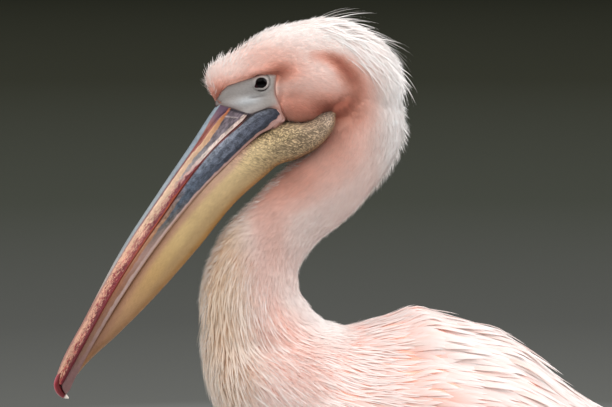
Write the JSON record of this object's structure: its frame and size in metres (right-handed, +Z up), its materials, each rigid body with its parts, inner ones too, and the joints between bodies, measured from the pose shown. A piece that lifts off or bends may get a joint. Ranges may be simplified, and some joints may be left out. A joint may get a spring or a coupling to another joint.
{
  "type": "pelican",
  "caption": "Great white pelican standing on two webbed feet, neck drawn back in an S and long pouched bill held low; still life-size model.",
  "frame": {"origin": "centre of the footprint of the whole bird, on the floor that the soles stand on", "axes": "+Z up, -X the way the bird faces, +X towards the tail, +Y to the bird's right"},
  "size_m": [0.9408, 0.3226, 0.8236],
  "materials": {
    "plumage": "dense matte feathers, rosy white, salmon at the roots",
    "flight_feathers": "blackish flight feathers, slight sheen",
    "bill": "horn, satin, blue-grey with an orange-pink and dark red band",
    "nail": "horn, dark red, satin",
    "mandible": "horn, mottled blue-grey, satin",
    "pouch": "bare finely wrinkled skin, ochre yellow",
    "eye": "wet, near black",
    "legs": "scaly bare skin, pinkish yellow",
    "claws": "horn, grey-brown"
  },
  "bodies": {
    "root": {"head": "plumage", "neck_upper": "plumage", "neck_middle": "plumage", "neck_lower": "plumage", "breast": "plumage", "back": "plumage", "belly": "plumage", "rump": "plumage", "maxilla": "bill", "nail": "nail", "mandible_left": "mandible", "mandible_right": "mandible", "pouch": "pouch", "crest": "plumage", "wing_left_coverts": "plumage", "wing_left_secondaries": "plumage", "wing_left_primaries": "flight_feathers", "scapulars_left": "plumage", "eye_left": "eye", "thigh_left": "plumage", "shank_left": "legs", "foot_left": "legs", "claw_left_hind": "claws", "claw_left_inner": "claws", "claw_left_middle": "claws", "claw_left_outer": "claws", "wing_right_coverts": "plumage", "wing_right_secondaries": "plumage", "wing_right_primaries": "flight_feathers", "scapulars_right": "plumage", "eye_right": "eye", "thigh_right": "plumage", "shank_right": "legs", "foot_right": "legs", "claw_right_hind": "claws", "claw_right_inner": "claws", "claw_right_middle": "claws", "claw_right_outer": "claws", "tail": "plumage"}
  },
  "joints": []
}
